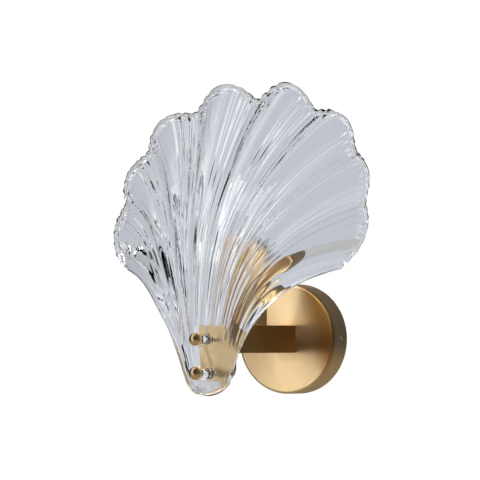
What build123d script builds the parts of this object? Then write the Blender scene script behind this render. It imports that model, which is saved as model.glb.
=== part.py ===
"""Shell wall sconce: a fluted pressed-glass scallop in front of a brass arm lamp.

Millimetres. The wall is the plane Y = 0 and the room lies towards -Y. +X is to the right as seen from the
room and +Z is up. The origin is the middle of the round canopy, where its axis meets the wall.
"""

import os
from math import cos, exp, log, pi, radians, sin, sqrt

from build123d import *

os.makedirs("parts", exist_ok=True)

# Canopy and wall bracket
canopy_d = 100.0
canopy_depth = 24.5
canopy_wall = 1.2
canopy_edge_r = 2.6
side_screw_y = -12.2
side_screw_z = -2.0
bracket_t = 1.5
bracket_width = 18.0
bracket_tab_x = 47.6
bracket_tab_depth = 19.0
wall_screw_spacing = 60.0
wall_slot_length = 12.0
wall_slot_width = 4.6
cable_hole_d = 14.0
tongue_width = 16.0
tongue_reach = 31.0
countersink_r = 4.3
countersink_depth = 2.6
countersunk_head_r = 3.8
countersunk_head_t = 1.8
earth_x = -17.0
earth_washer_d = 8.4
earth_washer_t = 0.8
earth_head_t = 2.4

# Terminal block
block_size = (27.0, 12.0, 14.0)
block_z = -24.0
pole_spacing = 18.0
clamp_screw_spacing = 7.0
clamp_screw_r = 1.8
clamp_screw_depth = 6.4
wire_hole_r = 1.6
wire_height = 4.5

# Arm and front plate
arm_width = 20.0
arm_height = 25.0
arm_wall = 2.5
arm_end_block = 8.0
plate_front_y = -149.0
plate_t = 4.0
plate_width = 36.0
plate_height = 50.0
plate_recess = 1.0
plate_bottom_r = 12.0
plate_top_r = 1.0

# Threads, drawn as plain cylinders with a small clearance in the tapped hole
thread_gap = 0.05
m10_r = 5.0
m10_bore_r = 3.8
m10_clearance = 0.2
m10_nut_flats = 14.0
m10_nut_t = 3.0
m10_end = 4.5
arm_washer_d = 20.0
arm_washer_t = 1.0
m4_r = 2.0
m4_clearance = 0.15
m3_r = 1.5

# Glass fixings
stud_spacing = 30.0
stud_reach = 39.0
stud_front_y = plate_front_y - stud_reach
ball_d = 12.0
ball_set_back = 2.5
ball_flat_depth = 4.8
ball_y = stud_front_y + ball_set_back
ball_flat_y = ball_y + ball_flat_depth
front_washer_t = 1.2
front_washer_d = 9.0
glass_hole_d = 8.4
sleeve_d = 7.8
sleeve_collar_d = 10.0
sleeve_collar_t = 6.5
sleeve_bore_reach = 30.0
upper_seat_depth = 10.4
lower_seat_depth = 13.6
glass_back_y = (ball_flat_y + upper_seat_depth, ball_flat_y + lower_seat_depth)
rear_washer_t = 0.8
rear_washer_d = 9.0
m4_nut_flats = 7.0
m4_nut_t = 3.2

# Glass shell
glass_t = 7.0
glass_root_extra = 2.4
lobes = 8
ribs_per_valley = 5
valley_half_width = 0.32

# Lamp cup and G9 socket
cup_y = -89.0
cup_d = 30.0
cup_height = 75.0
cup_wall = 1.2
cup_floor = 1.5
socket_size = (18.0, 15.0, 22.0)
socket_gap_above_floor = 21.0
pin_spacing = 9.0
pin_r = 0.5
ear_t = 0.8
ear_height = 9.0
ear_screw_height = 5.0
socket_screw_length = 2.9
bracket_floor_t = 1.0
bracket_strip = 13.0
slot_depth = 11.0
contact_t = 0.5
lead_r = 1.0
lead_hole_r = 1.9
lead_offset = 1.6
lead_bend = 9.0

# Bulb
bulb_gap = 0.4
bulb_base_size = (14.0, 7.5, 11.0)
bulb_pin_length = 8.0
capsule_r = 8.0
capsule_height = 40.0

canopy_r = canopy_d / 2
arm_top = arm_height / 2
arm_front_y = plate_front_y + plate_t - plate_recess
cup_floor_z = arm_top + cup_floor
socket_base_z = cup_floor_z + socket_gap_above_floor
socket_top_z = socket_base_z + socket_size[2]
room = Plane.XZ
stud_places = [(0, 0), (0, -stud_spacing)]


def save(part, name):
    """Label a finished piece and write its STEP file."""
    part.label = name
    export_step(part, f"parts/{name}.step")


def across(x):
    """Plane whose normal points along +X, level with the side screws."""
    return Plane(origin=(x, side_screw_y, side_screw_z), x_dir=(0, 1, 0), z_dir=(1, 0, 0))


# --- Wall bracket: a bent steel strap with a tapped tab at each end and a tongue for the terminal block
with BuildPart() as wall_bracket:
    with BuildSketch(Plane.XY.offset(-bracket_width / 2)):
        with Locations((0, -bracket_tab_depth / 2)):
            Rectangle(2 * bracket_tab_x, bracket_tab_depth)
        with Locations((0, -bracket_t - bracket_tab_depth / 2)):
            Rectangle(2 * (bracket_tab_x - bracket_t), bracket_tab_depth, mode=Mode.SUBTRACT)
    extrude(amount=bracket_width)
    fillet(wall_bracket.edges().filter_by(Axis.Z).group_by(Axis.Y)[-1], 2.5)
    with BuildSketch(room):
        with Locations((0, -tongue_reach / 2)):
            RectangleRounded(tongue_width, tongue_reach, 3)
    extrude(amount=bracket_t)
    with BuildSketch(room):
        with Locations((-wall_screw_spacing / 2, 0), (wall_screw_spacing / 2, 0)):
            SlotOverall(wall_slot_length, wall_slot_width)
        Circle(cable_hole_d / 2)
        with Locations((earth_x, 0)):
            Circle(m4_r + thread_gap)
        with Locations((0, block_z)):
            Circle(m3_r + thread_gap)
    extrude(amount=bracket_t, mode=Mode.SUBTRACT)
    with Locations(across(-bracket_tab_x), across(bracket_tab_x)):
        Hole(m4_r + thread_gap, depth=2 * bracket_t)
save(wall_bracket.part, "wall_bracket")

# --- Canopy: a spun brass cup, open to the wall, with a round front edge and a countersunk hole on each side
with BuildPart() as canopy:
    with BuildSketch(room):
        Circle(canopy_r)
    extrude(amount=canopy_depth)
    fillet(canopy.edges().sort_by(Axis.Y)[0], canopy_edge_r)
    offset(amount=-canopy_wall, openings=canopy.faces().sort_by(Axis.Y)[-1])
    with BuildSketch(room.offset(canopy_depth - 2 * canopy_wall)):
        Circle(m10_r + m10_clearance)
    extrude(amount=3 * canopy_wall, mode=Mode.SUBTRACT)
    with Locations(across(canopy_r), Plane(origin=(-canopy_r, side_screw_y, side_screw_z), z_dir=(-1, 0, 0))):
        Cone(
            countersink_r - countersink_depth,
            countersink_r,
            countersink_depth,
            align=(Align.CENTER, Align.CENTER, Align.MAX),
            mode=Mode.SUBTRACT,
        )
save(canopy.part, "canopy")

# --- Two countersunk M4 screws that hold the canopy on the bracket's tabs
with BuildPart() as canopy_screws:
    for side in (1, -1):
        head = Plane(origin=(side * (canopy_r - 0.5), side_screw_y, side_screw_z), z_dir=(side, 0, 0))
        with Locations(head):
            Cone(m4_r, countersunk_head_r, countersunk_head_t, align=(Align.CENTER, Align.CENTER, Align.MAX))
            Cylinder(m4_r, 9.0, align=(Align.CENTER, Align.CENTER, Align.MAX))
        with BuildSketch(head):
            Rectangle(3.6, 0.8)
            Rectangle(0.8, 3.6)
        extrude(amount=-0.9, mode=Mode.SUBTRACT)
save(canopy_screws.part, "canopy_screws")

# --- Earth screw on the bracket, with the cup washer that clamps the supply's earth wire
with BuildPart() as earth_washer:
    with BuildSketch(room.offset(bracket_t)):
        with Locations((earth_x, 0)):
            Circle(earth_washer_d / 2)
            Circle(m4_r + m4_clearance, mode=Mode.SUBTRACT)
    extrude(amount=earth_washer_t)
save(earth_washer.part, "earth_washer")

with BuildPart() as earth_screw:
    with BuildSketch(room.offset(bracket_t + earth_washer_t)):
        with Locations((earth_x, 0)):
            Circle(3.8)
    extrude(amount=earth_head_t)
    fillet(earth_screw.edges().sort_by(Axis.Y)[0], 0.8)
    with BuildSketch(room):
        with Locations((earth_x, 0)):
            Circle(m4_r)
    extrude(amount=bracket_t + earth_washer_t)
    with BuildSketch(room.offset(bracket_t + earth_washer_t + earth_head_t)):
        with Locations((earth_x, 0)):
            Rectangle(4.4, 0.9)
    extrude(amount=-1.0, mode=Mode.SUBTRACT)
save(earth_screw.part, "earth_screw")

# --- Terminal block: two poles, live and neutral, wires in from above and below, screws from the front
with BuildPart() as terminal_block:
    with BuildSketch(room.offset(bracket_t)):
        with Locations((0, block_z)):
            Rectangle(block_size[0], block_size[2])
            with GridLocations(pole_spacing / 2, block_size[2], 2, 2):
                Rectangle(1.2, 2.4, mode=Mode.SUBTRACT)
    extrude(amount=block_size[1])
    with BuildSketch(room.offset(bracket_t)):
        with Locations((0, block_z)):
            Circle(m3_r + 0.2)
    extrude(amount=block_size[1], mode=Mode.SUBTRACT)
    with BuildSketch(room.offset(bracket_t + block_size[1])):
        with Locations((0, block_z)):
            with GridLocations(pole_spacing, clamp_screw_spacing, 2, 2):
                Circle(clamp_screw_r + 0.1)
    extrude(amount=-clamp_screw_depth - 0.1, mode=Mode.SUBTRACT)
    with BuildSketch(Plane.XY.offset(block_z - block_size[2] / 2)):
        with Locations((0, -bracket_t - wire_height)):
            with GridLocations(pole_spacing, 1, 2, 1):
                Circle(wire_hole_r)
    extrude(amount=block_size[2], mode=Mode.SUBTRACT)
save(terminal_block.part, "terminal_block")

# --- Block screw through the middle of the terminal block into the tongue
with BuildPart() as block_screw:
    with BuildSketch(room):
        with Locations((0, block_z)):
            Circle(m3_r)
    extrude(amount=bracket_t + block_size[1])
    with BuildSketch(room.offset(bracket_t + block_size[1])):
        with Locations((0, block_z)):
            Circle(2.75)
    extrude(amount=2.0)
    with BuildSketch(room.offset(bracket_t + block_size[1] + 2.0)):
        with Locations((0, block_z)):
            Rectangle(3.4, 0.7)
            Rectangle(0.7, 3.4)
    extrude(amount=-1.0, mode=Mode.SUBTRACT)
save(block_screw.part, "block_screw")

# --- Clamp screws of the terminal block, two to a pole
with BuildPart() as terminal_screws:
    with BuildSketch(room.offset(bracket_t + block_size[1] - clamp_screw_depth)):
        with Locations((0, block_z)):
            with GridLocations(pole_spacing, clamp_screw_spacing, 2, 2):
                Circle(clamp_screw_r)
    extrude(amount=4.6)
    with BuildSketch(room.offset(bracket_t + block_size[1] - clamp_screw_depth + 4.6)):
        with Locations((0, block_z)):
            with GridLocations(pole_spacing, clamp_screw_spacing, 2, 2):
                Rectangle(3.8, 0.6)
    extrude(amount=-0.8, mode=Mode.SUBTRACT)
save(terminal_screws.part, "terminal_screws")

# --- Hollow M10 nipple that joins canopy and arm and lets the leads through, with its washer and nut
nut_seat_y = canopy_depth - canopy_wall - arm_washer_t
with BuildPart() as arm_nipple:
    with BuildSketch(room.offset(nut_seat_y - m10_end)):
        Circle(m10_r)
        Circle(m10_bore_r, mode=Mode.SUBTRACT)
    extrude(amount=canopy_depth + arm_end_block - nut_seat_y + m10_end)
save(arm_nipple.part, "arm_nipple")

with BuildPart() as arm_washer:
    with BuildSketch(room.offset(nut_seat_y)):
        Circle(arm_washer_d / 2)
        Circle(m10_r + m10_clearance, mode=Mode.SUBTRACT)
    extrude(amount=arm_washer_t)
save(arm_washer.part, "arm_washer")

with BuildPart() as arm_nut:
    with BuildSketch(room.offset(nut_seat_y - m10_nut_t)):
        RegularPolygon(m10_nut_flats / 2, 6, major_radius=False)
        Circle(m10_r + thread_gap, mode=Mode.SUBTRACT)
    extrude(amount=m10_nut_t)
save(arm_nut.part, "arm_nut")

# --- Arm: rectangular brass bar, bored hollow between a tapped block at the wall end and a closed front end
arm_length = -arm_front_y - canopy_depth
with BuildPart() as arm:
    with BuildSketch(room.offset(canopy_depth)):
        RectangleRounded(arm_width, arm_height, 0.5)
    extrude(amount=arm_length)
    with BuildSketch(room.offset(canopy_depth + arm_end_block)):
        Rectangle(arm_width - 2 * arm_wall, arm_height - 2 * arm_wall)
    extrude(amount=arm_length - 2 * arm_end_block, mode=Mode.SUBTRACT)
    with BuildSketch(room.offset(canopy_depth)):
        Circle(m10_r + thread_gap)
    extrude(amount=arm_end_block, mode=Mode.SUBTRACT)
    with BuildSketch(room.offset(-arm_front_y - arm_end_block)):
        Circle(m4_r + thread_gap)
    extrude(amount=arm_end_block, mode=Mode.SUBTRACT)
    with BuildSketch(Plane.XY.offset(arm_top - arm_wall)):
        with Locations((0, cup_y)):
            Circle(m10_r + thread_gap)
    extrude(amount=arm_wall, mode=Mode.SUBTRACT)
save(arm.part, "arm")

# --- Front plate: upright brass plate with round lower corners and a tapped hole for each stud; a recess
# in its back seats on the arm's end
with BuildPart() as front_plate:
    with BuildSketch(room.offset(-plate_front_y - plate_t)) as front_plate_outline:
        with Locations((0, arm_top - plate_height / 2)):
            Rectangle(plate_width, plate_height)
        fillet(front_plate_outline.vertices().group_by(Axis.Y)[-1], plate_top_r)
        fillet(front_plate_outline.vertices().group_by(Axis.Y)[0], plate_bottom_r)
    extrude(amount=plate_t)
    chamfer(front_plate.faces().sort_by(Axis.Y)[0].edges(), 0.4)
    with BuildSketch(room.offset(-plate_front_y - plate_t)):
        with Locations((0, 1)):
            Rectangle(arm_width + 0.1, arm_height + 2)
    extrude(amount=plate_recess, mode=Mode.SUBTRACT)
    with BuildSketch(room.offset(-plate_front_y - plate_t)):
        with Locations(*stud_places):
            Circle(m4_r + thread_gap)
    extrude(amount=plate_t, mode=Mode.SUBTRACT)
save(front_plate.part, "front_plate")

# --- Two M4 studs that carry the glass: the upper one runs on into the arm, the lower one ends in the plate
with BuildPart() as glass_studs:
    with BuildSketch(room.offset(-arm_front_y - arm_end_block + 0.5)):
        Circle(m4_r)
    extrude(amount=-stud_front_y + arm_front_y + arm_end_block - 0.5)
    with BuildSketch(room.offset(-plate_front_y - plate_t)):
        with Locations(stud_places[1]):
            Circle(m4_r)
    extrude(amount=-stud_front_y + plate_front_y + plate_t)
    chamfer(glass_studs.edges().filter_by(GeomType.CIRCLE), 0.3)
save(glass_studs.part, "glass_studs")

# --- Ball nuts: brass spheres with a small flat and a blind tapped hole
with BuildPart() as ball_nuts:
    for x, z in stud_places:
        with Locations((x, ball_y, z)):
            Sphere(ball_d / 2)
    with BuildSketch(room.offset(-ball_flat_y)):
        with Locations(*stud_places):
            Circle(ball_d)
    extrude(amount=-ball_d, mode=Mode.SUBTRACT)
    with BuildSketch(room.offset(-ball_flat_y)):
        with Locations(*stud_places):
            Circle(m4_r + thread_gap)
    extrude(amount=-stud_front_y + ball_flat_y + 0.3, mode=Mode.SUBTRACT)
save(ball_nuts.part, "ball_nuts")


# --- Glass shell: a thick pressed scallop, described by the curves that its flutes follow from hinge to rim.
# n numbers the lobes from the middle (-4 to 4, whole numbers in the valleys) and v runs from the hinge
# to the rim.
half_lobes = lobes // 2
hinge_r = 20.0
hinge_z = -30.5
rim_centre_z = 99.0
rim_r = 136.0
rim_dip = 6.0
middle_dip = 12.0
wing_droop = 14.0
bend_at = 0.402
bend_softness = 0.077
lean_middle = 173.0
lean_loss = 88.0
lip_length = 0.078
lip_depth = 16.0
crown_set_back = 5.3
crown_y = ball_flat_y + crown_set_back
side_set_back = 15.0
side_flattening = 4.0
middle_spread = 45.4
middle_flare = 9.5
middle_z = 138.0
middle_drop = 90.0
lobe_height = 3.4
wall_side_share = 0.4
rib_height = 0.7
middle_length = 230.0
wing_width = (30.0, 130.0)
hole_reach = 40.0


def fan(n):
    """Share of the fan's half angle at lobe count n: the lobes narrow outwards and the last one is wide."""
    return 0.2669 * n - 0.00728 * n**3 + 0.000389 * n**5


def rim_point(n):
    """Scalloped rim in front view, round a centre on the middle line."""
    u = fan(n)
    angle = radians(118.7 * u - 10 * u**3)
    dip = rim_dip + middle_dip * exp(-((n / 1.2) ** 2))
    r = rim_r - dip * (1 - abs(sin(pi * n)) ** 1.5) - wing_droop * abs(u) ** 5
    return r * sin(angle), rim_centre_z + r * cos(angle)


def middle_surface(n, v):
    """Point half way through the glass, without its relief."""
    u = fan(n)
    start_x, start_z = hinge_r * sin(1.2 * u), hinge_z - hinge_r * cos(1.2 * u)
    mid_x, mid_z = middle_spread * u + middle_flare * u**3, middle_z - middle_drop * u * u
    end_x, end_z = rim_point(n)
    a, b, c = (1 - v) ** 2, 2 * v * (1 - v), v * v
    lean = (lean_middle - lean_loss * abs(u) ** 1.6) * bend_softness
    lean *= log(1 + exp((v - bend_at - 0.051 * u * u) / bend_softness))
    lip = max(0.0, 1 - v / lip_length)
    lip = lip_depth * (1 - u**4) * (1 - sqrt(1 - 0.95 * lip * lip))
    y = crown_y + (side_set_back - side_flattening * v * v) * u * u + lean + lip
    return Vector(a * start_x + b * mid_x + c * end_x, y, a * start_z + b * mid_z + c * end_z)


def outward(n, v):
    """Unit normal of the middle surface, towards the room."""
    e = 0.001
    n = max(-half_lobes + e, min(half_lobes - e, n))
    v = max(e, min(1 - e, v))
    along_rim = middle_surface(n + e, v) - middle_surface(n - e, v)
    along_rib = middle_surface(n, v + e) - middle_surface(n, v - e)
    normal = along_rib.cross(along_rim).normalized()
    return normal if normal.Y < 0 else -normal


def relief(n, v, side):
    """Height of the lobes, and on the room side of the fine ribs in the valleys between them."""
    grow = min(1.0, max(0.0, 3.6 * (v - 0.11)))
    height = lobe_height * (abs(sin(pi * n)) ** 1.3 - 0.5)
    if side < 0:
        height *= wall_side_share
    from_valley = abs(n - round(n))
    if side > 0 and from_valley < valley_half_width and abs(round(n)) < half_lobes:
        height += rib_height * (cos(pi * from_valley * ribs_per_valley / valley_half_width) - 0.4)
    return grow * height


def glass_point(n, v, side):
    """Point on the room side (side 1) or the wall side (side -1), which meet in the round rim."""
    half = glass_t / 2 + glass_root_extra / 2 * exp(-v / 0.25)
    from_rim = min(v, 1 - v) * middle_length
    from_edge = (1 - abs(fan(n))) * (wing_width[0] * (1 - v) + wing_width[1] * v)
    inset = min(from_rim, from_edge, half) / half
    thickness = half * max(0.0, 1 - (1 - inset) ** 3) ** (1 / 3)
    return middle_surface(n, v) + outward(n, v) * (side * thickness + inset * relief(n, v, side))


def flute_positions():
    """Lobe counts of the flute curves: rib crests and troughs in each valley, a few over each lobe."""
    step = valley_half_width / ribs_per_valley
    edge = [3.75, 3.9, 3.95, 3.985, 4.0]
    found = [-n for n in edge] + edge
    for lobe in range(-half_lobes, half_lobes):
        found += [lobe + 0.38, lobe + 0.5, lobe + 0.62]
    for valley in range(1 - half_lobes, half_lobes):
        found += [valley + step * k for k in range(-ribs_per_valley, ribs_per_valley + 1)]
    return sorted(found)


rounding = [glass_t / 2 * (1 - cos(radians(t))) / middle_length for t in (0, 30, 60, 90)]
rises = rounding + [0.04, 0.08, 0.13, 0.2, 0.28, 0.36, 0.44, 0.52, 0.6, 0.7, 0.8, 0.9]
rises += [1 - r for r in reversed(rounding)]


def flute_faces(side):
    """Ruled strips between neighbouring flute curves of one side of the glass."""
    curves = []
    for n in flute_positions():
        curve_side = 1 if abs(n) == half_lobes else side
        curves.append(Spline(*[glass_point(n, v, curve_side) for v in rises]))
    return [Face.make_surface_from_curves(a, b) for a, b in zip(curves, curves[1:])]


shell_skin = Solid(Shell(flute_faces(1) + flute_faces(-1)))
with BuildPart() as glass_shell:
    add(shell_skin)
    with BuildSketch(room.offset(-ball_flat_y - hole_reach)):
        with Locations(*stud_places):
            Circle(glass_hole_d / 2)
    extrude(amount=2 * hole_reach, mode=Mode.SUBTRACT)
save(glass_shell.part, "glass_shell")

# --- Clear washers between ball nuts and glass
with BuildPart() as front_washers:
    with BuildSketch(room.offset(-ball_flat_y - front_washer_t)):
        with Locations(*stud_places):
            Circle(front_washer_d / 2)
            Circle(m4_r + m4_clearance, mode=Mode.SUBTRACT)
    extrude(amount=front_washer_t)
save(front_washers.part, "front_washers")

# --- Clear sleeves: they line the holes in the glass and space it from the nuts behind
with BuildPart() as glass_sleeves:
    for place, back in zip(stud_places, glass_back_y):
        with BuildSketch(room.offset(-back - sleeve_collar_t)):
            with Locations(place):
                Circle(sleeve_collar_d / 2)
        extrude(amount=sleeve_collar_t)
        with BuildSketch(room.offset(-back)):
            with Locations(place):
                Circle(sleeve_d / 2)
        extrude(amount=back - ball_flat_y - front_washer_t)
    with BuildSketch(room.offset(-ball_flat_y)):
        with Locations(*stud_places):
            Circle(m4_r + m4_clearance)
    extrude(amount=-sleeve_bore_reach, mode=Mode.SUBTRACT)
save(glass_sleeves.part, "glass_sleeves")

# --- Steel washers and nuts on the studs behind the sleeves
with BuildPart() as rear_washers:
    for place, back in zip(stud_places, glass_back_y):
        with BuildSketch(room.offset(-back - sleeve_collar_t - rear_washer_t)):
            with Locations(place):
                Circle(rear_washer_d / 2)
                Circle(m4_r + m4_clearance, mode=Mode.SUBTRACT)
        extrude(amount=rear_washer_t)
save(rear_washers.part, "rear_washers")

with BuildPart() as rear_nuts:
    for place, back in zip(stud_places, glass_back_y):
        with BuildSketch(room.offset(-back - sleeve_collar_t - rear_washer_t - m4_nut_t)):
            with Locations(place):
                RegularPolygon(m4_nut_flats / 2, 6, major_radius=False)
                Circle(m4_r + thread_gap, mode=Mode.SUBTRACT)
        extrude(amount=m4_nut_t)
save(rear_nuts.part, "rear_nuts")

# --- Lamp cup: an upright brass cup on the arm, open at the top
with BuildPart() as lamp_cup:
    with BuildSketch(Plane.XY.offset(arm_top)):
        with Locations((0, cup_y)):
            Circle(cup_d / 2)
    extrude(amount=cup_height)
    fillet(lamp_cup.edges().sort_by(Axis.Z)[0], 0.6)
    with BuildSketch(Plane.XY.offset(cup_floor_z)):
        with Locations((0, cup_y)):
            Circle(cup_d / 2 - cup_wall)
    extrude(amount=cup_height, mode=Mode.SUBTRACT)
    with BuildSketch(Plane.XY.offset(arm_top)):
        with Locations((0, cup_y)):
            Circle(m10_r + m10_clearance)
    extrude(amount=cup_floor, mode=Mode.SUBTRACT)
    fillet(lamp_cup.edges().sort_by(Axis.Z)[-2:], 0.4)
save(lamp_cup.part, "lamp_cup")

# --- Socket bracket: a bent steel strip under the cup's nut, with an ear on each side of the socket
ear_x = socket_size[0] / 2
ear_top_z = socket_base_z + ear_height
ear_screw_z = socket_base_z + ear_screw_height
with BuildPart() as socket_bracket:
    with BuildSketch(room.offset(-cup_y - bracket_strip / 2)):
        with Locations((0, (cup_floor_z + ear_top_z) / 2)):
            Rectangle(2 * (ear_x + ear_t), ear_top_z - cup_floor_z)
        with Locations((0, (cup_floor_z + ear_top_z) / 2 + bracket_floor_t)):
            Rectangle(2 * ear_x, ear_top_z - cup_floor_z, mode=Mode.SUBTRACT)
    extrude(amount=bracket_strip)
    with BuildSketch(Plane.XY.offset(cup_floor_z)):
        with Locations((0, cup_y)):
            Circle(m10_r + m10_clearance)
    extrude(amount=bracket_floor_t, mode=Mode.SUBTRACT)
    with BuildSketch(Plane.YZ.offset(-ear_x - 2)):
        with Locations((cup_y, ear_screw_z)):
            Circle(m3_r + thread_gap)
    extrude(amount=2 * ear_x + 4, mode=Mode.SUBTRACT)
save(socket_bracket.part, "socket_bracket")

# --- Hollow M10 nipple and nut that hold cup and socket bracket on the arm
with BuildPart() as cup_nipple:
    with BuildSketch(Plane.XY.offset(arm_top - arm_wall)):
        with Locations((0, cup_y)):
            Circle(m10_r)
            Circle(m10_bore_r, mode=Mode.SUBTRACT)
    extrude(amount=arm_wall + cup_floor + bracket_floor_t + m10_end)
save(cup_nipple.part, "cup_nipple")

with BuildPart() as cup_nut:
    with BuildSketch(Plane.XY.offset(cup_floor_z + bracket_floor_t)):
        with Locations((0, cup_y)):
            RegularPolygon(m10_nut_flats / 2, 6, major_radius=False)
            Circle(m10_r + thread_gap, mode=Mode.SUBTRACT)
    extrude(amount=m10_nut_t)
save(cup_nut.part, "cup_nut")

# --- G9 socket: a glazed ceramic block with two pin slots, a side bore for each fixing screw, lead holes
# below
with BuildPart() as lamp_socket:
    with BuildSketch(Plane.XY.offset(socket_base_z)):
        with Locations((0, cup_y)):
            RectangleRounded(socket_size[0] - 0.1, socket_size[1], 3.0)
    extrude(amount=socket_size[2])
    chamfer(lamp_socket.faces().sort_by(Axis.Z)[-1].edges(), 0.6)
    with BuildSketch(Plane.XY.offset(socket_top_z)):
        with Locations((-pin_spacing / 2, cup_y), (pin_spacing / 2, cup_y)):
            RectangleRounded(2.6, 7.0, 0.6)
    extrude(amount=-slot_depth, mode=Mode.SUBTRACT)
    with BuildSketch(Plane.XY.offset(socket_base_z)):
        with Locations((-pin_spacing / 2, cup_y), (pin_spacing / 2, cup_y)):
            Circle(lead_hole_r)
    extrude(amount=socket_size[2] - slot_depth, mode=Mode.SUBTRACT)
    with Locations(
        Plane(origin=(ear_x, cup_y, ear_screw_z), z_dir=(1, 0, 0)),
        Plane(origin=(-ear_x, cup_y, ear_screw_z), z_dir=(-1, 0, 0)),
    ):
        Cylinder(
            m3_r + thread_gap,
            socket_screw_length - ear_t + 0.2,
            align=(Align.CENTER, Align.CENTER, Align.MAX),
            mode=Mode.SUBTRACT,
        )
save(lamp_socket.part, "lamp_socket")

# --- Two M3 screws that hold the socket between the ears
with BuildPart() as socket_screws:
    for side in (1, -1):
        with Locations(Plane(origin=(side * (ear_x + ear_t), cup_y, ear_screw_z), z_dir=(side, 0, 0))):
            Cylinder(m3_r, socket_screw_length, align=(Align.CENTER, Align.CENTER, Align.MAX))
            Cylinder(2.7, 1.6, align=(Align.CENTER, Align.CENTER, Align.MIN))
save(socket_screws.part, "socket_screws")

# --- Spring contacts at the back of the pin slots
with BuildPart() as socket_contacts:
    with BuildSketch(Plane.XY.offset(socket_top_z - slot_depth)):
        for side in (1, -1):
            with Locations((side * (pin_spacing / 2 + pin_r + 0.05 + contact_t / 2), cup_y)):
                Rectangle(contact_t, 5.0)
    extrude(amount=slot_depth - 2.0)
save(socket_contacts.part, "socket_contacts")


# --- Leads: from the terminal block through the arm's nipple and the hollow arm, up into the socket
def lead_route(side):
    """Tangent curves from a pole of the block, along the arm's axis and up through the cup's nipple."""
    x = side * lead_offset
    start = Vector(side * pole_spacing / 2, -bracket_t - wire_height, block_z + block_size[2] / 2 - 3)
    enter = Vector(x, -nut_seat_y + 5.0, 0)
    end = Vector(side * pin_spacing / 2, cup_y, socket_base_z + 8)
    first = Spline(start, start + Vector(0, 0, 5), enter, tangents=[(0, 0, 1), (0, -1, 0)])
    along = Line(first @ 1, (x, cup_y + lead_bend, 0))
    turn = TangentArc(along @ 1, (x, cup_y, lead_bend), tangent=(0, -1, 0))
    rise = Line(turn @ 1, (x, cup_y, cup_floor_z + bracket_floor_t + m10_end + 0.1))
    last = Spline(rise @ 1, end - Vector(0, 0, 9), end, tangents=[(0, 0, 1), (0, 0, 1)])
    return first, along, turn, rise, last


def lead(side):
    """One insulated lead, swept along its route."""
    with BuildPart() as one_lead:
        with BuildLine() as route:
            lead_route(side)
        with BuildSketch(Plane(origin=route.line @ 0, z_dir=route.line % 0)):
            Circle(lead_r)
        sweep(path=route.line)
    return one_lead.part


save(lead(1), "live_lead")
save(lead(-1), "neutral_lead")

# --- Bulb: a G9 capsule lamp with its pinch base and pins, which lifts straight out of the socket
bulb_base_z = socket_top_z + bulb_gap
with BuildPart() as bulb_base:
    with BuildSketch(Plane.XY.offset(bulb_base_z)):
        with Locations((0, cup_y)):
            RectangleRounded(bulb_base_size[0], bulb_base_size[1], 2.0)
    extrude(amount=bulb_base_size[2])
    chamfer(bulb_base.faces().sort_by(Axis.Z)[0].edges(), 0.5)
save(bulb_base.part, "bulb_base")

with BuildPart() as bulb_capsule:
    with BuildSketch(Plane.XZ.offset(-cup_y)):
        with BuildLine():
            z0 = bulb_base_z + bulb_base_size[2]
            foot = Line((0, z0), (capsule_r - 1.5, z0))
            wall = Line((capsule_r, z0 + 2.5), (capsule_r, z0 + capsule_height - capsule_r))
            Line(foot @ 1, wall @ 0)
            dome = RadiusArc(wall @ 1, (0, z0 + capsule_height), -capsule_r)
            Line(dome @ 1, foot @ 0)
        make_face()
    revolve(axis=Axis((0, cup_y, 0), (0, 0, 1)))
save(bulb_capsule.part, "bulb_capsule")

with BuildPart() as bulb_pins:
    with BuildSketch(Plane.XY.offset(bulb_base_z)):
        for side in (1, -1):
            with Locations((side * pin_spacing / 2, cup_y)):
                SlotOverall(4.0, 2 * pin_r, rotation=90)
    extrude(amount=-bulb_pin_length)
    fillet(bulb_pins.edges().filter_by(GeomType.LINE).group_by(Axis.Z)[0], 0.3)
save(bulb_pins.part, "bulb_pins")
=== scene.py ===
"""Shell wall sconce: brass canopy and arm, upright lamp cup, and a thick fluted glass scallop on two ball nuts.

Metres. The wall is the plane Y = 0, the room lies towards -Y, and +Z is up.
"""

from math import atan, cos, pi, radians, sin

import bpy
import numpy as np
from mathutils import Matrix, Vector


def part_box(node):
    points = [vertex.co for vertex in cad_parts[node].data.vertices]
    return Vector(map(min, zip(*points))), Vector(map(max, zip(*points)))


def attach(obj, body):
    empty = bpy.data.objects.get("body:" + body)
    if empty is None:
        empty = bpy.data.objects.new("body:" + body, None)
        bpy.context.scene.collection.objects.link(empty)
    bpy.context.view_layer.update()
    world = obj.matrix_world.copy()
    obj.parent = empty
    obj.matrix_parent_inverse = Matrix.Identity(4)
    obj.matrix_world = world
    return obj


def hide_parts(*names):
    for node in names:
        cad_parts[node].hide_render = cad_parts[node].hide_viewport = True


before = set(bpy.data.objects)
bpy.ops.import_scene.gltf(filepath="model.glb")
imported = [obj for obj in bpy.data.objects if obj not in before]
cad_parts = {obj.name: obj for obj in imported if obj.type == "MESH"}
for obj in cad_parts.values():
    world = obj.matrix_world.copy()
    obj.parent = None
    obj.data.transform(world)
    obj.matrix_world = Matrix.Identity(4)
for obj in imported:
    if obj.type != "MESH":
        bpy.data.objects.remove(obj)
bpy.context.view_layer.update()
bpy.ops.object.select_all(action="DESELECT")

# ---------------------------------------------------------------------------------------------------------------
# Steel small parts: the bent strap on the wall, its screws and washers, the nuts, the strip that holds the socket.
# Zinc-plated pressed or turned steel, pale grey with a faint cloudy crystal in the plating and small scuffs.


def plain_material(name, roughness=0.5, metallic=0.0):
    """A material with one Principled shader on its output, and its node tree."""
    material = bpy.data.materials.new(name)
    material.use_nodes = True
    tree = material.node_tree
    shader = tree.nodes["Principled BSDF"]
    shader.inputs["Roughness"].default_value = roughness
    shader.inputs["Metallic"].default_value = metallic
    return material, tree, shader


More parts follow.
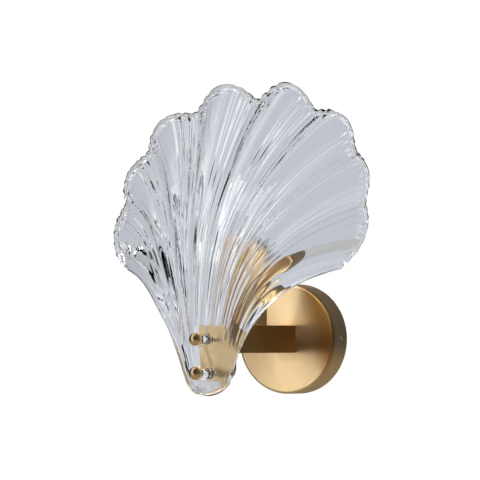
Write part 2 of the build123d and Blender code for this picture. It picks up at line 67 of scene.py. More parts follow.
def dress(node, material):
    """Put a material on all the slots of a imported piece."""
    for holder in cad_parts[node].material_slots:
        holder.material = material


def surface_wear_group():
    """Cloudy tone, fine scuffs and a bump height over a piece, from Object coordinates."""
    group = bpy.data.node_groups.new("surface_wear", "ShaderNodeTree")
    add_socket = group.interface.new_socket
    add_socket("Base", in_out="INPUT", socket_type="NodeSocketColor")
    add_socket("Worn", in_out="INPUT", socket_type="NodeSocketColor")
    add_socket("Cloud scale", in_out="INPUT", socket_type="NodeSocketFloat")
    add_socket("Scuff scale", in_out="INPUT", socket_type="NodeSocketFloat")
    add_socket("Roughness low", in_out="INPUT", socket_type="NodeSocketFloat")
    add_socket("Roughness high", in_out="INPUT", socket_type="NodeSocketFloat")
    add_socket("Colour", in_out="OUTPUT", socket_type="NodeSocketColor")
    add_socket("Roughness", in_out="OUTPUT", socket_type="NodeSocketFloat")
    add_socket("Height", in_out="OUTPUT", socket_type="NodeSocketFloat")
    given = group.nodes.new("NodeGroupInput")
    result = group.nodes.new("NodeGroupOutput")
    place = group.nodes.new("ShaderNodeTexCoord")
    clouds = group.nodes.new("ShaderNodeTexNoise")
    scuffs = group.nodes.new("ShaderNodeTexNoise")
    scuffs.inputs["Detail"].default_value = 6.0
    scuffs.inputs["Roughness"].default_value = 0.7
    tone = group.nodes.new("ShaderNodeMix")
    tone.data_type = "RGBA"
    spread = group.nodes.new("ShaderNodeMapRange")
    link = group.links.new
    link(place.outputs["Object"], clouds.inputs["Vector"])
    link(place.outputs["Object"], scuffs.inputs["Vector"])
    link(given.outputs["Cloud scale"], clouds.inputs["Scale"])
    link(given.outputs["Scuff scale"], scuffs.inputs["Scale"])
    link(clouds.outputs["Fac"], tone.inputs["Factor"])
    link(given.outputs["Base"], tone.inputs["A"])
    link(given.outputs["Worn"], tone.inputs["B"])
    link(tone.outputs["Result"], result.inputs["Colour"])
    link(scuffs.outputs["Fac"], spread.inputs["Value"])
    link(given.outputs["Roughness low"], spread.inputs["To Min"])
    link(given.outputs["Roughness high"], spread.inputs["To Max"])
    link(spread.outputs["Result"], result.inputs["Roughness"])
    link(scuffs.outputs["Fac"], result.inputs["Height"])
    return group


surface_wear = surface_wear_group()


def worn_material(name, base, worn, metallic, roughness, scales, bump=0.05):
    """A material whose tone, gloss and bump come from the surface wear group."""
    material, tree, shader = plain_material(name, metallic=metallic)
    wear = tree.nodes.new("ShaderNodeGroup")
    wear.node_tree = surface_wear
    wear.inputs["Base"].default_value = (*base, 1)
    wear.inputs["Worn"].default_value = (*worn, 1)
    wear.inputs["Cloud scale"].default_value = scales[0]
    wear.inputs["Scuff scale"].default_value = scales[1]
    wear.inputs["Roughness low"].default_value = roughness[0]
    wear.inputs["Roughness high"].default_value = roughness[1]
    relief = tree.nodes.new("ShaderNodeBump")
    relief.inputs["Strength"].default_value = bump
    relief.inputs["Distance"].default_value = 0.0002
    tree.links.new(wear.outputs["Colour"], shader.inputs["Base Color"])
    tree.links.new(wear.outputs["Roughness"], shader.inputs["Roughness"])
    tree.links.new(wear.outputs["Height"], relief.inputs["Height"])
    tree.links.new(relief.outputs["Normal"], shader.inputs["Normal"])
    return material


zinc_steel = worn_material("zinc_steel", (0.56, 0.56, 0.55), (0.42, 0.43, 0.43), 1.0, (0.28, 0.42), (90, 900))
for steel_piece in (
    "wall_bracket",
    "earth_washer",
    "earth_screw",
    "block_screw",
    "terminal_screws",
    "arm_washer",
    "arm_nut",
    "glass_studs",
    "rear_washers",
    "socket_bracket",
    "cup_nut",
    "socket_screws",
    "socket_contacts",
    "bulb_pins",
):
    dress(steel_piece, zinc_steel)
bright_nickel = worn_material("bright_nickel", (0.86, 0.83, 0.77), (0.74, 0.71, 0.66), 1.0, (0.15, 0.25), (90, 900))
dress("canopy_screws", bright_nickel)

# ---------------------------------------------------------------------------------------------------------------
# Terminal block: moulded off-white plastic with a fine matt grain, screwed to the strap inside the canopy. The
# two leads end in it.

block_plastic = worn_material("block_plastic", (0.78, 0.76, 0.7), (0.72, 0.7, 0.64), 0.0, (0.42, 0.55), (60, 2500))
dress("terminal_block", block_plastic)

# ---------------------------------------------------------------------------------------------------------------
# Leads: round stranded wires in soft PVC, brown for live and blue for neutral, slightly glossy. They run from the
# terminal block through the arm and up into the cup.

for lead, sheath in (("live_lead", (0.13, 0.05, 0.022)), ("neutral_lead", (0.02, 0.08, 0.32))):
    shade = tuple(0.8 * value for value in sheath)
    dress(lead, worn_material(f"{lead}_sheath", sheath, shade, 0.0, (0.3, 0.42), (120, 1500)))

# ---------------------------------------------------------------------------------------------------------------
# Canopy: a round cup spun from brass sheet, brushed round its axis and lacquered, a warm gold with painted shade
# that deepens its colour towards the right of its face. The hollow nipple in its middle is turned from bar and
# holds the arm.


def brush_lines_group():
    """Fine brush lines: long streaks along one local direction of the given vector, as tone, gloss and height."""
    group = bpy.data.node_groups.new("brush_lines", "ShaderNodeTree")
    add_socket = group.interface.new_socket
    add_socket("Vector", in_out="INPUT", socket_type="NodeSocketVector")
    add_socket("Base", in_out="INPUT", socket_type="NodeSocketColor")
    add_socket("Dark", in_out="INPUT", socket_type="NodeSocketColor")
    add_socket("Colour", in_out="OUTPUT", socket_type="NodeSocketColor")
    add_socket("Roughness", in_out="OUTPUT", socket_type="NodeSocketFloat")
    add_socket("Height", in_out="OUTPUT", socket_type="NodeSocketFloat")
    given = group.nodes.new("NodeGroupInput")
    result = group.nodes.new("NodeGroupOutput")
    lines = group.nodes.new("ShaderNodeTexNoise")
    lines.inputs["Scale"].default_value = 1.0
    lines.inputs["Detail"].default_value = 4.0
    lines.inputs["Roughness"].default_value = 0.65
    contrast = group.nodes.new("ShaderNodeMapRange")
    contrast.inputs["From Min"].default_value = 0.3
    contrast.inputs["From Max"].default_value = 0.7
    tone = group.nodes.new("ShaderNodeMix")
    tone.data_type = "RGBA"
    gloss = group.nodes.new("ShaderNodeMapRange")
    gloss.inputs["To Min"].default_value = 0.27
    gloss.inputs["To Max"].default_value = 0.4
    link = group.links.new
    link(given.outputs["Vector"], lines.inputs["Vector"])
    link(lines.outputs["Fac"], contrast.inputs["Value"])
    link(contrast.outputs["Result"], tone.inputs["Factor"])
    link(given.outputs["Base"], tone.inputs["A"])
    link(given.outputs["Dark"], tone.inputs["B"])
    link(tone.outputs["Result"], result.inputs["Colour"])
    link(contrast.outputs["Result"], gloss.inputs["Value"])
    link(gloss.outputs["Result"], result.inputs["Roughness"])
    link(lines.outputs["Fac"], result.inputs["Height"])
    return group


brush_lines = brush_lines_group()
brass_tone = (0.94, 0.65, 0.3)
brass_shade = (0.84, 0.56, 0.24)


def brass_material(
    name, brush, centre=(0, 0, 0), bump=0.12, spread=0.0, tone=brass_tone, shade=brass_shade, coat=0.5
):
    """Brushed brass. brush is 'round_y' or 'round_z' for turned faces, or the lines' scales along X, Y, Z."""
    material, tree, shader = plain_material(name, metallic=1.0)
    shader.inputs["Coat Weight"].default_value = coat
    shader.inputs["Coat Roughness"].default_value = 0.12
    if spread:
        shader.inputs["Anisotropic"].default_value = spread
        shader.inputs["Anisotropic Rotation"].default_value = 0.25
        around = tree.nodes.new("ShaderNodeTangent")
        around.direction_type = "RADIAL"
        around.axis = "Y" if brush == "round_y" else "Z"
        tree.links.new(around.outputs["Tangent"], shader.inputs["Tangent"])
    place = tree.nodes.new("ShaderNodeTexCoord")
    moved = tree.nodes.new("ShaderNodeMapping")
    moved.inputs["Location"].default_value = tuple(-value for value in centre)
    tree.links.new(place.outputs["Object"], moved.inputs["Vector"])
    along = moved.outputs["Vector"]
    scales = brush
    if isinstance(brush, str):
        split = tree.nodes.new("ShaderNodeSeparateXYZ")
        tree.links.new(along, split.inputs["Vector"])
        axial, side = ("Y", "Z") if brush == "round_y" else ("Z", "Y")
        square = []
        for axis in ("X", side):
            power = tree.nodes.new("ShaderNodeMath")
            power.operation = "MULTIPLY"
            tree.links.new(split.outputs[axis], power.inputs[0])
            tree.links.new(split.outputs[axis], power.inputs[1])
            square.append(power)
        total = tree.nodes.new("ShaderNodeMath")
        radius = tree.nodes.new("ShaderNodeMath")
        radius.operation = "SQRT"
        tree.links.new(square[0].outputs[0], total.inputs[0])
        tree.links.new(square[1].outputs[0], total.inputs[1])
        tree.links.new(total.outputs[0], radius.inputs[0])
        turn = tree.nodes.new("ShaderNodeMath")
        turn.operation = "ARCTAN2"
        tree.links.new(split.outputs["X"], turn.inputs[0])
        tree.links.new(split.outputs[side], turn.inputs[1])
        joined = tree.nodes.new("ShaderNodeCombineXYZ")
        tree.links.new(radius.outputs[0], joined.inputs["X"])
        tree.links.new(split.outputs[axial], joined.inputs["Y"])
        tree.links.new(turn.outputs[0], joined.inputs["Z"])
        along = joined.outputs["Vector"]
        scales = (3500, 3500, 3.0)
    stretched = tree.nodes.new("ShaderNodeVectorMath")
    stretched.operation = "MULTIPLY"
    stretched.inputs[1].default_value = scales
    tree.links.new(along, stretched.inputs[0])
    lines = tree.nodes.new("ShaderNodeGroup")
    lines.node_tree = brush_lines
    lines.inputs["Base"].default_value = (*tone, 1)
    lines.inputs["Dark"].default_value = (*shade, 1)
    relief = tree.nodes.new("ShaderNodeBump")
    relief.inputs["Strength"].default_value = bump
    relief.inputs["Distance"].default_value = 0.0001
    tree.links.new(stretched.outputs[0], lines.inputs["Vector"])
    tree.links.new(lines.outputs["Colour"], shader.inputs["Base Color"])
    tree.links.new(lines.outputs["Roughness"], shader.inputs["Roughness"])
    tree.links.new(lines.outputs["Height"], relief.inputs["Height"])
    tree.links.new(relief.outputs["Normal"], shader.inputs["Normal"])
    return material


def paint_shade_on_face(material, towards, front, darker, darker_shade, reach=0.05):
    """Paint shade into the colour of a turned face towards one side, in front of the plane Y = front."""
    tree = material.node_tree
    lines = next(node for node in tree.nodes if node.type == "GROUP")
    place = tree.nodes.new("ShaderNodeTexCoord")
    split = tree.nodes.new("ShaderNodeSeparateXYZ")
    side = tree.nodes.new("ShaderNodeVectorMath")
    side.operation = "DOT_PRODUCT"
    side.inputs[1].default_value = tuple(value / reach for value in towards)
    sector = tree.nodes.new("ShaderNodeMapRange")
    sector.interpolation_type = "SMOOTHSTEP"
    sector.inputs["From Min"].default_value = 0.38
    sector.inputs["From Max"].default_value = 0.8
    ahead = tree.nodes.new("ShaderNodeMapRange")
    ahead.inputs["From Min"].default_value = front
    ahead.inputs["From Max"].default_value = front - 0.0015
    shade_mask = tree.nodes.new("ShaderNodeMath")
    shade_mask.operation = "MULTIPLY"
    tree.links.new(place.outputs["Object"], split.inputs["Vector"])
    tree.links.new(place.outputs["Object"], side.inputs[0])
    tree.links.new(side.outputs["Value"], sector.inputs["Value"])
    tree.links.new(split.outputs["Y"], ahead.inputs["Value"])
    # The painted shade mask: the chosen side of the face, only in front of the plane Y = front.
    tree.links.new(sector.outputs["Result"], shade_mask.inputs[0])
    tree.links.new(ahead.outputs["Result"], shade_mask.inputs[1])
    for socket, deep in (("Base", darker), ("Dark", darker_shade)):
        mix = tree.nodes.new("ShaderNodeMix")
        mix.data_type = "RGBA"
        mix.inputs["A"].default_value = lines.inputs[socket].default_value
        mix.inputs["B"].default_value = (*deep, 1)
        tree.links.new(shade_mask.outputs[0], mix.inputs["Factor"])
        tree.links.new(mix.outputs["Result"], lines.inputs[socket])


canopy_brass = brass_material(
    "canopy_brass", "round_y", spread=0.85, tone=(0.8, 0.6, 0.345), shade=(0.72, 0.52, 0.28), coat=0.12
)
# Painted shade: the face's colour is made deeper towards its right, standing for the dark side of the brushed
# highlight.
paint_shade_on_face(canopy_brass, (0.96, 0, 0.28), -0.0215, (0.58, 0.33, 0.11), (0.5, 0.27, 0.08))
dress("canopy", canopy_brass)
turned_brass = brass_material("turned_brass", "round_y", spread=0.85, coat=0.3)
dress("arm_nipple", turned_brass)

# ---------------------------------------------------------------------------------------------------------------
# Arm: a rectangular brass bar, hollow for the leads, brushed along its length and lacquered. Its colour is set
# deeper than the canopy's as painted shade, because its brush lines run away from the light.

# Painted shade: the arm's tone and line colour are deeper brass colours, standing for the light its brush lines turn
# away.
arm_painted_shade_tone = (0.72, 0.42, 0.15)
arm_painted_shade_lines = (0.6, 0.33, 0.1)
bar_brass = brass_material("bar_brass", (2500, 25, 2500), tone=arm_painted_shade_tone, shade=arm_painted_shade_lines, coat=0.2)
dress("arm", bar_brass)

# ---------------------------------------------------------------------------------------------------------------
# Front plate: a flat brass plate let into the arm's end, brushed upright. The two studs of the glass stand on it,
# and it shines through the glass behind the ball nuts.

plate_brass = brass_material("plate_brass", (25, 2500, 2500), tone=(0.9, 0.66, 0.35), shade=(0.8, 0.56, 0.27))
dress("front_plate", plate_brass)

# ---------------------------------------------------------------------------------------------------------------
# Lamp cup: a thin brass tube with a floor, turned and brushed round its upright axis. A hollow nipple through its
# floor holds it on the arm.

cup_low, cup_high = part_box("lamp_cup")
cup_axis = (0, (cup_low.y + cup_high.y) / 2, 0)
cup_brass = brass_material("cup_brass", "round_z", centre=cup_axis)
dress("lamp_cup", cup_brass)
dress("cup_nipple", cup_brass)

# ---------------------------------------------------------------------------------------------------------------
# Lamp socket: a glazed white ceramic block in the cup. The lamp's pinch base is the same ceramic.

glazed_ceramic = worn_material(
    "glazed_ceramic", (0.8, 0.78, 0.72), (0.75, 0.73, 0.67), 0.0, (0.12, 0.2), (70, 600), bump=0.02
)
dress("lamp_socket", glazed_ceramic)
dress("bulb_base", glazed_ceramic)

# ---------------------------------------------------------------------------------------------------------------
# Lamp capsule: a clear quartz tube with a domed top and a pinched foot, hollow, with a 1 mm wall. It is fused on
# the pins' wires and lifts out with the ceramic base.

capsule_low, capsule_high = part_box("bulb_capsule")
capsule_radius = (capsule_high.x - capsule_low.x) / 2
capsule_height = capsule_high.z - capsule_low.z
capsule_middle = (capsule_low + capsule_high) / 2
foot_rounding = 0.002
bpy.ops.mesh.primitive_cylinder_add(
    vertices=64, radius=capsule_radius, depth=capsule_height, location=capsule_middle
)
quartz_capsule = bpy.context.object
quartz_capsule.name = "quartz_capsule"
bpy.ops.object.transform_apply(location=True, rotation=True, scale=True)
for level, width, steps in ((capsule_high.z, 0.998 * capsule_radius, 14), (capsule_low.z, foot_rounding, 4)):
    bpy.ops.object.mode_set(mode="EDIT")
    bpy.ops.mesh.select_all(action="DESELECT")
    bpy.ops.object.mode_set(mode="OBJECT")
    for edge in quartz_capsule.data.edges:
        edge.select = all(abs(quartz_capsule.data.vertices[i].co.z - level) < 1e-6 for i in edge.vertices)
    bpy.ops.object.mode_set(mode="EDIT")
    bpy.ops.mesh.select_mode(type="EDGE")
    bpy.ops.mesh.bevel(offset=width, segments=steps, profile=0.5, affect="EDGES")
bpy.ops.object.mode_set(mode="OBJECT")
quartz_wall = quartz_capsule.modifiers.new("quartz_wall", "SOLIDIFY")
quartz_wall.thickness = 0.001
quartz_wall.offset = -1.0
bpy.ops.object.modifier_apply(modifier=quartz_wall.name)
bpy.ops.object.shade_smooth_by_angle(angle=radians(40))
bulb_glass, _, bulb_shader = plain_material("bulb_glass", roughness=0.02)
bulb_shader.inputs["Transmission Weight"].default_value = 1.0
bulb_shader.inputs["IOR"].default_value = 1.46
quartz_capsule.data.materials.append(bulb_glass)
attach(quartz_capsule, "bulb")
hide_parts("bulb_capsule")

# ---------------------------------------------------------------------------------------------------------------
# Filament: a fine tungsten coil in the shape of a roof, hung on two straight molybdenum wires that rise from the
# pinched foot.

wire_spread = 0.0028
wire_top = capsule_low.z + 0.012
coil_peak = capsule_low.z + 0.027
coil_radius = 0.0007
coil_turns = 26
coil_steps = 12
wire_foot = capsule_low.z + 0.0012
wire_thickness = 2.2
coil_path = [(-wire_spread, wire_foot, 0.0, wire_thickness), (-wire_spread, wire_top, 0.0, wire_thickness)]
for step in range(coil_turns * coil_steps + 1):
    share = 2 * step / (coil_turns * coil_steps) - 1
    swing = 2 * pi * step / coil_steps
    across_coil = wire_spread * share + coil_radius * cos(swing)
    coil_height = coil_peak - (coil_peak - wire_top) * abs(share) ** 1.3
    coil_path.append((across_coil, coil_height, coil_radius * sin(swing), 1.0))
coil_path += [(wire_spread, wire_top, 0.0, wire_thickness), (wire_spread, wire_foot, 0.0, wire_thickness)]
filament_curve = bpy.data.curves.new("filament", "CURVE")
filament_curve.dimensions = "3D"
filament_curve.bevel_depth = 0.00011
filament_curve.bevel_resolution = 1
filament_curve.use_fill_caps = True
filament_line = filament_curve.splines.new("POLY")
filament_line.points.add(len(coil_path) - 1)
for point, (x, z, aside_y, thickness) in zip(filament_line.points, coil_path):
    point.co = (capsule_middle.x + x, capsule_middle.y + aside_y, z, 1)
    point.radius = thickness
filament = bpy.data.objects.new("tungsten_filament", filament_curve)
bpy.context.collection.objects.link(filament)
bpy.ops.object.select_all(action="DESELECT")
filament.select_set(True)
bpy.context.view_layer.objects.active = filament
bpy.ops.object.convert(target="MESH")
filament = bpy.context.object
bpy.ops.object.shade_smooth()
tungsten = worn_material("tungsten", (0.3, 0.3, 0.31), (0.2, 0.2, 0.21), 1.0, (0.3, 0.45), (300, 2500))
filament.data.materials.append(tungsten)
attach(filament, "bulb")

# ---------------------------------------------------------------------------------------------------------------
# Ball nuts: two brass balls, turned and polished, screwed on the studs in front of the glass.

ball_brass = brass_material("ball_brass", "round_y", bump=0.05, tone=(0.93, 0.66, 0.34), shade=(0.78, 0.53, 0.25))
dress("ball_nuts", ball_brass)

# ---------------------------------------------------------------------------------------------------------------
# Rear nuts: small hexagon nuts of blackened steel on the studs, behind the glass.

black_steel = worn_material("black_steel", (0.03, 0.028, 0.026), (0.06, 0.055, 0.05), 1.0, (0.3, 0.45), (300, 900))
dress("rear_nuts", black_steel)

# ---------------------------------------------------------------------------------------------------------------
# Washers and sleeves of the glass: clear soft plastic. The washers lie under the ball nuts, and the sleeves line
# the holes and keep the glass off the nuts behind.

clear_plastic, _, clear_shader = plain_material("clear_plastic", roughness=0.12)
clear_shader.inputs["Transmission Weight"].default_value = 1.0
clear_shader.inputs["IOR"].default_value = 1.45
dress("front_washers", clear_plastic)
dress("glass_sleeves", clear_plastic)

# ---------------------------------------------------------------------------------------------------------------
# Glass shell: a thick pressed scallop, clear with a cool tint. Eight lobes fan out from the hinge, fine ribs run
# in the valleys between them, the upper part leans back to the wall, and the rim is fire-polished round.

mm = 0.001
shell_columns = 640
shell_rows = 75
glass_thickness = 7.0
root_extra = 2.4
half_lobes = 4
ribs_per_lobe = 8
root_rib_height = 0.45
root_ribs_per_lobe = 4
rib_fade = 0.62
valley_half_width = 0.32
lobe_height = 3.4
wall_side_share = 0.4
rib_height = 0.7
middle_length = 230.0
hinge_radius = 20.0
hinge_height = -30.5
rim_radius = 135.6
rim_dip = 6.0
middle_dip = 12.0
rim_centre_height = 99.0
wing_droop = 14.0
bend_at = 0.402
bend_softness = 0.077
lip_length = 0.078
lip_depth = 16.0
crown_y = -175.4
rim_bead = 1.3
bead_width = 9.0
flank_bead = 2.4
flank_bead_width = 20.0
rim_ripple = 0.35
side_lobe_lift = 2.5
side_lobe_place = 1.6
side_lobe_width = 0.45
middle_dip_width = 1.2
rim_angle = 118.7
rim_angle_loss = 10
hinge_angle = 1.2
middle_spread = 45.4
middle_flare = 5.5
middle_height = 138
middle_drop = 90
lean_middle = 173
lean_loss = 88
bend_rise = 0.051
side_set_back = 15
side_flattening = 4
hinge_width = 30
rim_width = 130


def fan(n):
    """Share of the fan's half angle at lobe count n, -4 to 4."""
    return 0.2669 * n - 0.00728 * n**3 + 0.000389 * n**5


def middle_surface(n, v):
    """Half way through the glass at lobe count n, v from hinge to rim, in millimetres."""
    u = fan(n)
    hinge_turn = hinge_angle * u
    start = hinge_radius * np.sin(hinge_turn), hinge_height - hinge_radius * np.cos(hinge_turn)
    mid = middle_spread * u + middle_flare * u**3, middle_height - middle_drop * u * u
    angle = np.radians(rim_angle * u - rim_angle_loss * u**3)
    dip = rim_dip + middle_dip * np.exp(-((n / middle_dip_width) ** 2))
    r = rim_radius - dip * (1 - np.abs(np.sin(pi * n)) ** 1.5) - wing_droop * np.abs(u) ** 5
    from_valley = np.abs(n - np.round(n))
    ripple = np.cos(2 * pi * ribs_per_lobe * n) - 1
    r = r + rim_ripple * np.where(from_valley < valley_half_width, ripple, -2) * v**10
    r = r + side_lobe_lift * np.exp(-(((np.abs(n) - side_lobe_place) / side_lobe_width) ** 2)) * v**4
    end = r * np.sin(angle), rim_centre_height + r * np.cos(angle)
    a, b, c = (1 - v) ** 2, 2 * v * (1 - v), v * v
    bend = np.log(1 + np.exp((v - bend_at - bend_rise * u * u) / bend_softness))
    lean = (lean_middle - lean_loss * np.abs(u) ** 1.6) * bend_softness * bend
    lip = np.maximum(0, 1 - v / lip_length)
    lip = lip_depth * (1 - u**4) * (1 - np.sqrt(1 - 0.95 * lip * lip))
    x = a * start[0] + b * mid[0] + c * end[0]
    y = crown_y + (side_set_back - side_flattening * v * v) * u * u + lean + lip
    z = a * start[1] + b * mid[1] + c * end[1]
    return np.stack([x, y, z], axis=-1)


def outward(n, v):
    """Unit normal of the middle surface, towards the room."""
    e = 0.001
    n = np.clip(n, e - half_lobes, half_lobes - e)
    v = np.clip(v, e, 1 - e)
    along_rim = middle_surface(n + e, v) - middle_surface(n - e, v)
    along_rib = middle_surface(n, v + e) - middle_surface(n, v - e)
    normal = np.cross(along_rib, along_rim)
    normal /= np.linalg.norm(normal, axis=-1, keepdims=True)
    return np.where(normal[..., 1:2] < 0, normal, -normal)


def relief_height(n, v, side):
    """Lobes, shallow on the wall side, and on the room side ribs: all round the hinge, then in the valleys."""
    grow = np.clip(3.6 * (v - 0.11), 0, 1)
    height = lobe_height * (np.abs(np.sin(pi * n)) ** 1.3 - 0.5) * np.where(side > 0, 1.0, wall_side_share)
    from_valley = np.abs(n - np.round(n))
    in_valley = np.clip((valley_half_width + 0.03 - from_valley) / 0.06, 0, 1) * (np.abs(n) < half_lobes - 0.5)
    near_hinge = np.clip((rib_fade - v) / 0.2, 0, 1)
    uneven = 1 + 0.45 * np.sin(3.7 * n + 8 * v) * np.sin(7.3 * n - 5 * v)
    calm = 1 - 0.5 * np.clip(np.abs(n) - 1.2, 0, 1)
    fine_ribs = rib_height * uneven * (np.cos(2 * pi * ribs_per_lobe * n) - 0.4) * in_valley
    fine_ribs *= calm * (1 - 0.7 * near_hinge)
    root_ribs = root_rib_height * uneven * np.cos(2 * pi * root_ribs_per_lobe * n) * near_hinge
    root_ribs *= 0.5 + 0.6 * np.clip(n - 0.8, 0, 1) - 0.3 * np.clip(-n - 1.2, 0, 1)
    height += np.where(side > 0, fine_ribs + root_ribs, 0)
    return grow * height


def glass_points(n, v, side):
    """Points on the room side (1) or the wall side (-1), which meet in the thick, unevenly beaded rim."""
    half = glass_thickness / 2 + root_extra / 2 * np.exp(-v / 0.25)
    from_rim = np.minimum(v, 1 - v) * middle_length
    from_edge = (1 - np.abs(fan(n))) * (hinge_width * (1 - v) + rim_width * v)
    inset = np.clip(np.minimum(from_rim, from_edge), 0, half) / half
    thickness = half * (1 - (1 - inset) ** 3) ** (1 / 3)
    hammered = 1 + 0.75 * np.sin(2.1 + 31 * n + 7 * np.sin(5.3 * n)) * np.sin(0.7 + 19 * n)
    bead = rim_bead * hammered * np.clip(1 - from_rim / bead_width, 0, 1) * np.where(v > 0.5, 1.0, 0.3)
    bead += flank_bead * np.sin(pi * np.clip(from_edge / flank_bead_width, 0, 1)) * np.clip(v / 0.2, 0, 1)
    rise = side * (thickness + inset * bead) + inset * relief_height(n, v, side)
    return middle_surface(n, v) + outward(n, v) * rise[..., None]


bpy.ops.mesh.primitive_grid_add(x_subdivisions=shell_columns, y_subdivisions=2 * shell_rows, size=2)
glass_shell = bpy.context.object
glass_shell.name = "pressed_glass_shell"
sheet = np.empty(len(glass_shell.data.vertices) * 3)
glass_shell.data.vertices.foreach_get("co", sheet)
sheet = sheet.reshape(-1, 3)
edge_ease = np.sin(sheet[:, 0] * pi / 2)
lobe_count = half_lobes * (0.8 * sheet[:, 0] + 0.2 * edge_ease)
to_rim = 1 - np.abs(sheet[:, 1])
to_rim = 0.8 * to_rim + 0.2 * (1 - np.cos(pi * to_rim)) / 2
facing = np.where(sheet[:, 1] < 0, 1.0, -1.0)
shaped = glass_points(lobe_count, to_rim, facing) * mm
glass_shell.data.vertices.foreach_set("co", shaped.ravel())
bpy.ops.object.mode_set(mode="EDIT")
bpy.ops.mesh.select_all(action="SELECT")
bpy.ops.mesh.remove_doubles(threshold=1e-6)
bpy.ops.mesh.normals_make_consistent(inside=False)
bpy.ops.object.mode_set(mode="OBJECT")
bpy.ops.object.shade_smooth()

stud_heights = (0.0, -0.030)
hole_radius = 0.0042
drill_length = 0.05
drill_y = -0.175
for height in stud_heights:
    bpy.ops.mesh.primitive_cylinder_add(
        vertices=48, radius=hole_radius, depth=drill_length, location=(0, drill_y, height), rotation=(pi / 2, 0, 0)
    )
    drill = bpy.context.object
    bore = glass_shell.modifiers.new("stud_hole", "BOOLEAN")
    bore.operation = "DIFFERENCE"
    bore.object = drill
    bpy.context.view_layer.objects.active = glass_shell
    bpy.ops.object.modifier_apply(modifier=bore.name)
    bpy.data.objects.remove(drill)

shell_glass, shell_tree, shell_shader = plain_material("shell_glass", roughness=0.0)
shell_shader.inputs["Base Color"].default_value = (0.965, 0.98, 0.99, 1)
shell_shader.inputs["Transmission Weight"].default_value = 1.0
shell_shader.inputs["IOR"].default_value = 1.5
glass_place = shell_tree.nodes.new("ShaderNodeTexCoord")
waves = shell_tree.nodes.new("ShaderNodeTexNoise")
waves.inputs["Scale"].default_value = 45
waves.inputs["Detail"].default_value = 2.0
glass_waves = shell_tree.nodes.new("ShaderNodeBump")
glass_waves.inputs["Strength"].default_value = 0.25
glass_waves.inputs["Distance"].default_value = 0.001
shell_tree.links.new(glass_place.outputs["Object"], waves.inputs["Vector"])
shell_tree.links.new(waves.outputs["Fac"], glass_waves.inputs["Height"])
shell_tree.links.new(glass_waves.outputs["Normal"], shell_shader.inputs["Normal"])
glass_shell.data.materials.append(shell_glass)
glass_shell.visible_shadow = False
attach(glass_shell, "fixture")
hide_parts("glass_shell")

# ---------------------------------------------------------------------------------------------------------------
# The room: a plain pale floor below, a white studio round it, a large soft lamp from the upper left and a fill.
# Metal mirrors a tall strip light, a dark end and the floor. Glass is seen against cards, as in a photo studio.

floor_height = -0.36
bpy.ops.mesh.primitive_plane_add(size=6, location=(0, 0, floor_height))
floor = bpy.context.object
floor.name = "floor"
floor_paint, _, floor_shader = plain_material("floor_paint", roughness=0.8)
floor_shader.inputs["Base Color"].default_value = (0.86, 0.86, 0.86, 1)
floor.data.materials.append(floor_paint)
floor.visible_glossy = False

world = bpy.data.worlds.new("studio")
bpy.context.scene.world = world
world.use_nodes = True
sky = world.node_tree
sky.nodes.clear()
sky_link = sky.links.new
surroundings = sky.nodes.new("ShaderNodeOutputWorld")
direction = sky.nodes.new("ShaderNodeTexCoord")
which_ray = sky.nodes.new("ShaderNodeLightPath")


def studio_tone(amount, name, stops):
    """Brightness of the studio walls as a colour ramp over an amount from 0 to 1."""
    ramp = sky.nodes.new("ShaderNodeValToRGB")
    ramp.label = name
    ramp.color_ramp.interpolation = "EASE"
    elements = ramp.color_ramp.elements
    while len(elements) < len(stops):
        elements.new(0.5)
    for element, (position, colour) in zip(elements, stops):
        element.position = position
        element.color = (*colour, 1)
    sky_link(amount, ramp.inputs["Fac"])
    return ramp.outputs["Color"]


def sky_math(operation, first, second=None, third=0.5):
    """One math node of the world on sockets or plain numbers."""
    node = sky.nodes.new("ShaderNodeMath")
    node.operation = operation
    for place, value in enumerate((first, second, third)):
        if isinstance(value, (int, float)):
            node.inputs[place].default_value = value
        elif value is not None:
            sky_link(value, node.inputs[place])
    return node.outputs["Value"]


def sky_choice(factor, off, on):
    """The second colour where the factor is 1, else the first."""
    mix = sky.nodes.new("ShaderNodeMix")
    mix.data_type = "RGBA"
    sky_link(factor, mix.inputs["Factor"])
    sky_link(off, mix.inputs["A"])
    sky_link(on, mix.inputs["B"])
    return mix.outputs["Result"]


compass = sky.nodes.new("ShaderNodeSeparateXYZ")
sky_link(direction.outputs["Generated"], compass.inputs["Vector"])


def sky_along(vector):
    """How far a direction points along a unit vector, from -1 to 1."""
    node = sky.nodes.new("ShaderNodeVectorMath")
    node.operation = "DOT_PRODUCT"
    node.inputs[1].default_value = vector
    sky_link(direction.outputs["Generated"], node.inputs[0])
    return node.outputs["Value"]


strip_light = studio_tone(
    sky_math("ABSOLUTE", sky_along((-0.82, 0.478, -0.307))),
    "tall strip light at the front left, leaning a little",
    ((0.0, (1.7, 1.68, 1.65)), (0.13, (1.35, 1.33, 1.3)), (0.24, (0.12, 0.115, 0.11)), (0.5, (0.03, 0.03, 0.03))),
)
dark_side = studio_tone(
    sky_math("MULTIPLY_ADD", sky_along((-0.5, -0.86, 0.1)), 0.5),
    "the room's dark end behind the wall plane",
    ((0.4, (0.0, 0.0, 0.0)), (0.65, (1.0, 1.0, 1.0))),
)
dim = sky.nodes.new("ShaderNodeRGB")
dim.outputs[0].default_value = (0.1, 0.1, 0.1, 1)
mirror_tone = sky_choice(dark_side, dim.outputs[0], strip_light)
low_side = studio_tone(sky_along((0, 0, -1)), "share of the floor", ((0.05, (0.0, 0.0, 0.0)), (0.6, (1.0, 1.0, 1.0))))
floor_tone = sky.nodes.new("ShaderNodeRGB")
floor_tone.outputs[0].default_value = (0.36, 0.32, 0.26, 1)
mirror_tone = sky_choice(low_side, mirror_tone, floor_tone.outputs[0])
bearing = sky_math("ARCTAN2", compass.outputs["Y"], compass.outputs["X"])
card_bearing = radians(120.3)
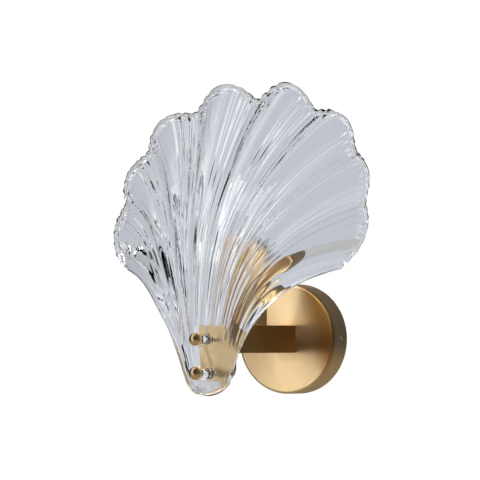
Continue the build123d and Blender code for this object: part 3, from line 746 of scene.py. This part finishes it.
cards_round = 8.0
turned = sky_math("SUBTRACT", bearing, card_bearing)
card_wave = sky_math("COSINE", sky_math("MULTIPLY", turned, cards_round))
card_place = sky_math("MULTIPLY_ADD", card_wave, 0.5)
through_tone = studio_tone(
    card_place,
    "grey cards round the glass, with white strips and narrow black ones between them",
    (
        (0.0, (0.05, 0.065, 0.09)),
        (0.025, (0.3, 0.325, 0.38)),
        (0.1, (0.98, 0.98, 1.0)),
        (0.3, (0.76, 0.77, 0.81)),
        (0.6, (0.66, 0.675, 0.715)),
        (0.85, (0.565, 0.58, 0.63)),
    ),
)
soft_white = sky.nodes.new("ShaderNodeRGB")
soft_white.outputs[0].default_value = (0.55, 0.55, 0.55, 1)
pure_white = sky.nodes.new("ShaderNodeRGB")
pure_white.outputs[0].default_value = (1, 1, 1, 1)
studio = sky_choice(which_ray.outputs["Is Glossy Ray"], soft_white.outputs[0], mirror_tone)
studio = sky_choice(which_ray.outputs["Is Transmission Ray"], studio, through_tone)
studio = sky_choice(which_ray.outputs["Is Camera Ray"], studio, pure_white.outputs[0])
room_light = sky.nodes.new("ShaderNodeBackground")
sky_link(studio, room_light.inputs["Color"])
sky_link(room_light.outputs[0], surroundings.inputs["Surface"])


def soft_lamp(name, place, size, power):
    """A square area lamp that faces the middle of the object."""
    target = Vector((0, -0.1, 0.06))
    bpy.ops.object.light_add(type="AREA", location=place)
    lamp = bpy.context.object
    lamp.name = name
    lamp.data.shape = "SQUARE"
    lamp.data.size = size
    lamp.data.energy = power
    lamp.visible_glossy = False
    lamp.rotation_euler = (target - Vector(place)).to_track_quat("-Z", "Y").to_euler()
    return lamp


soft_lamp("key_lamp", (-0.6, -1.5, 1.2), 1.4, 22)
soft_lamp("fill_lamp", (1.6, -1.2, 0.4), 1.4, 8)

# ---------------------------------------------------------------------------------------------------------------
# Camera: long lens, 30.3 degrees to the right of the canopy's axis, nearly level.

view_azimuth = radians(30.3)
distance = 4.560
focal_px = 5000
image_px = 480
canopy_face = Vector((0, -0.0245, 0))
canopy_face_px = Vector((286, 339))
horizon_px = 328.8
into_view = Vector((-sin(view_azimuth), cos(view_azimuth), 0))
to_right = Vector((cos(view_azimuth), sin(view_azimuth), 0))
aside = (canopy_face_px.x - image_px / 2) * distance / focal_px
above = (canopy_face_px.y - horizon_px) * distance / focal_px
bpy.ops.object.camera_add(location=canopy_face - distance * into_view - aside * to_right + Vector((0, 0, above)))
camera = bpy.context.object
camera.data.lens = camera.data.sensor_width * focal_px / image_px
camera.rotation_euler = (pi / 2 + atan((horizon_px - image_px / 2) / focal_px), 0, view_azimuth)
camera.data.clip_end = 50
bpy.context.scene.camera = camera
bpy.context.scene.view_settings.view_transform = "Standard"
